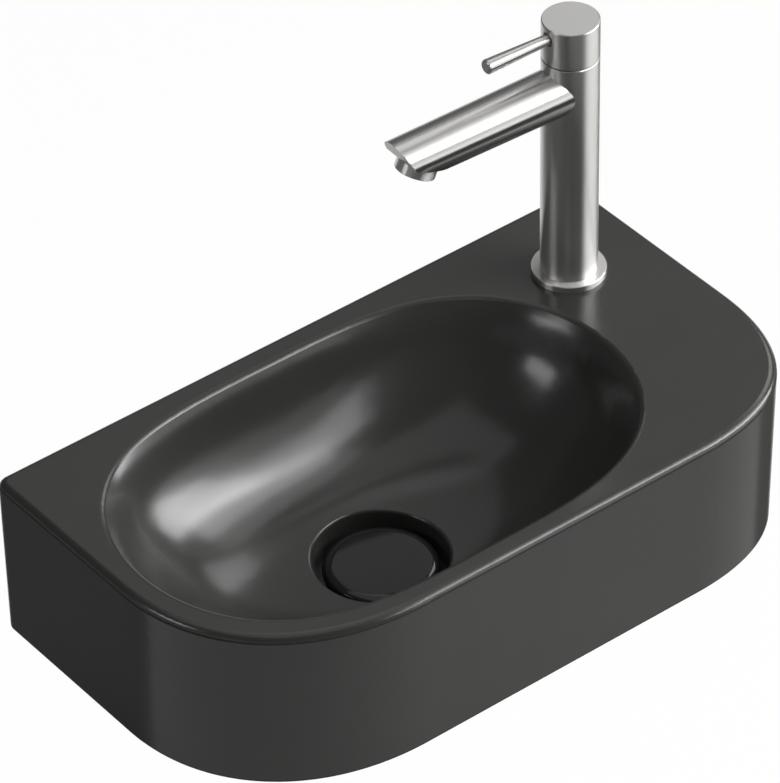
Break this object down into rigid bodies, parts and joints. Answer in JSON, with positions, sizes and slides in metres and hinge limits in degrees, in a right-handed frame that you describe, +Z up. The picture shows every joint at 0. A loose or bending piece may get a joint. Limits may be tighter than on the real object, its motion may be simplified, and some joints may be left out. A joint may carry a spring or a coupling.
{
  "type": "wall-hung hand basin",
  "caption": "Small wall-hung hand basin with rounded front, side tap deck, cold lever pillar tap and push-button waste.",
  "frame": {"origin": "midway between the two wall fixing holes, on the wall face", "axes": "+X along the wall to the user's right, +Y into the wall, +Z up"},
  "size_m": [0.4398, 0.2399, 0.3491],
  "materials": {
    "basin_glaze": "matt black glazed ceramic",
    "tap_steel": "brushed stainless steel",
    "aerator_metal": "brushed stainless steel, darker",
    "black_rubber": "matt rubber",
    "grey_plastic": "moulded plastic",
    "raw_brass": "machined brass",
    "plain_steel": "zinc plated or stainless steel",
    "white_ceramic": "polished technical ceramic",
    "plug_black": "gloss black coated brass"
  },
  "bodies": {
    "fixture": {"basin": "basin_glaze", "base_ring": "tap_steel", "base_gasket": "black_rubber", "column": "tap_steel", "spout": "tap_steel", "aerator_housing": "aerator_metal", "aerator_insert": "grey_plastic", "aerator_seal": "black_rubber", "shank": "raw_brass", "centring_bush": "grey_plastic", "rubber_washer": "black_rubber", "steel_washer": "plain_steel", "back_nut": "raw_brass", "cartridge_body": "raw_brass", "cartridge_seal": "black_rubber", "ceramic_disc_fixed": "white_ceramic", "waste_body": "raw_brass", "waste_top_seal": "black_rubber", "waste_lower_washer": "black_rubber", "waste_lock_nut": "grey_plastic", "click_body": "raw_brass", "click_spring": "plain_steel"},
    "lever": {"lever_cap": "tap_steel", "lever_pin": "tap_steel", "grub_screw": "plain_steel", "cartridge_spindle": "raw_brass", "spindle_ring": "black_rubber", "ceramic_disc_moving": "white_ceramic"},
    "plug": {"plug_cap": "plug_black", "plug_seal": "black_rubber", "plug_stem": "raw_brass"}
  },
  "joints": [
    {"name": "lever_turn", "type": "hinge", "parent": "fixture", "child": "lever", "pos_m": [0.1615, -0.0612, 0.2481], "axis": [0, 0, 1], "range_deg": [0, 90]},
    {"name": "plug_press", "type": "slide", "parent": "fixture", "child": "plug", "axis": [0, 0, 1], "range_m": [-0.0068, 0], "stiffness_N_per_m": 400, "springref_m": 0.006, "deforming": ["click_spring"]}
  ]
}
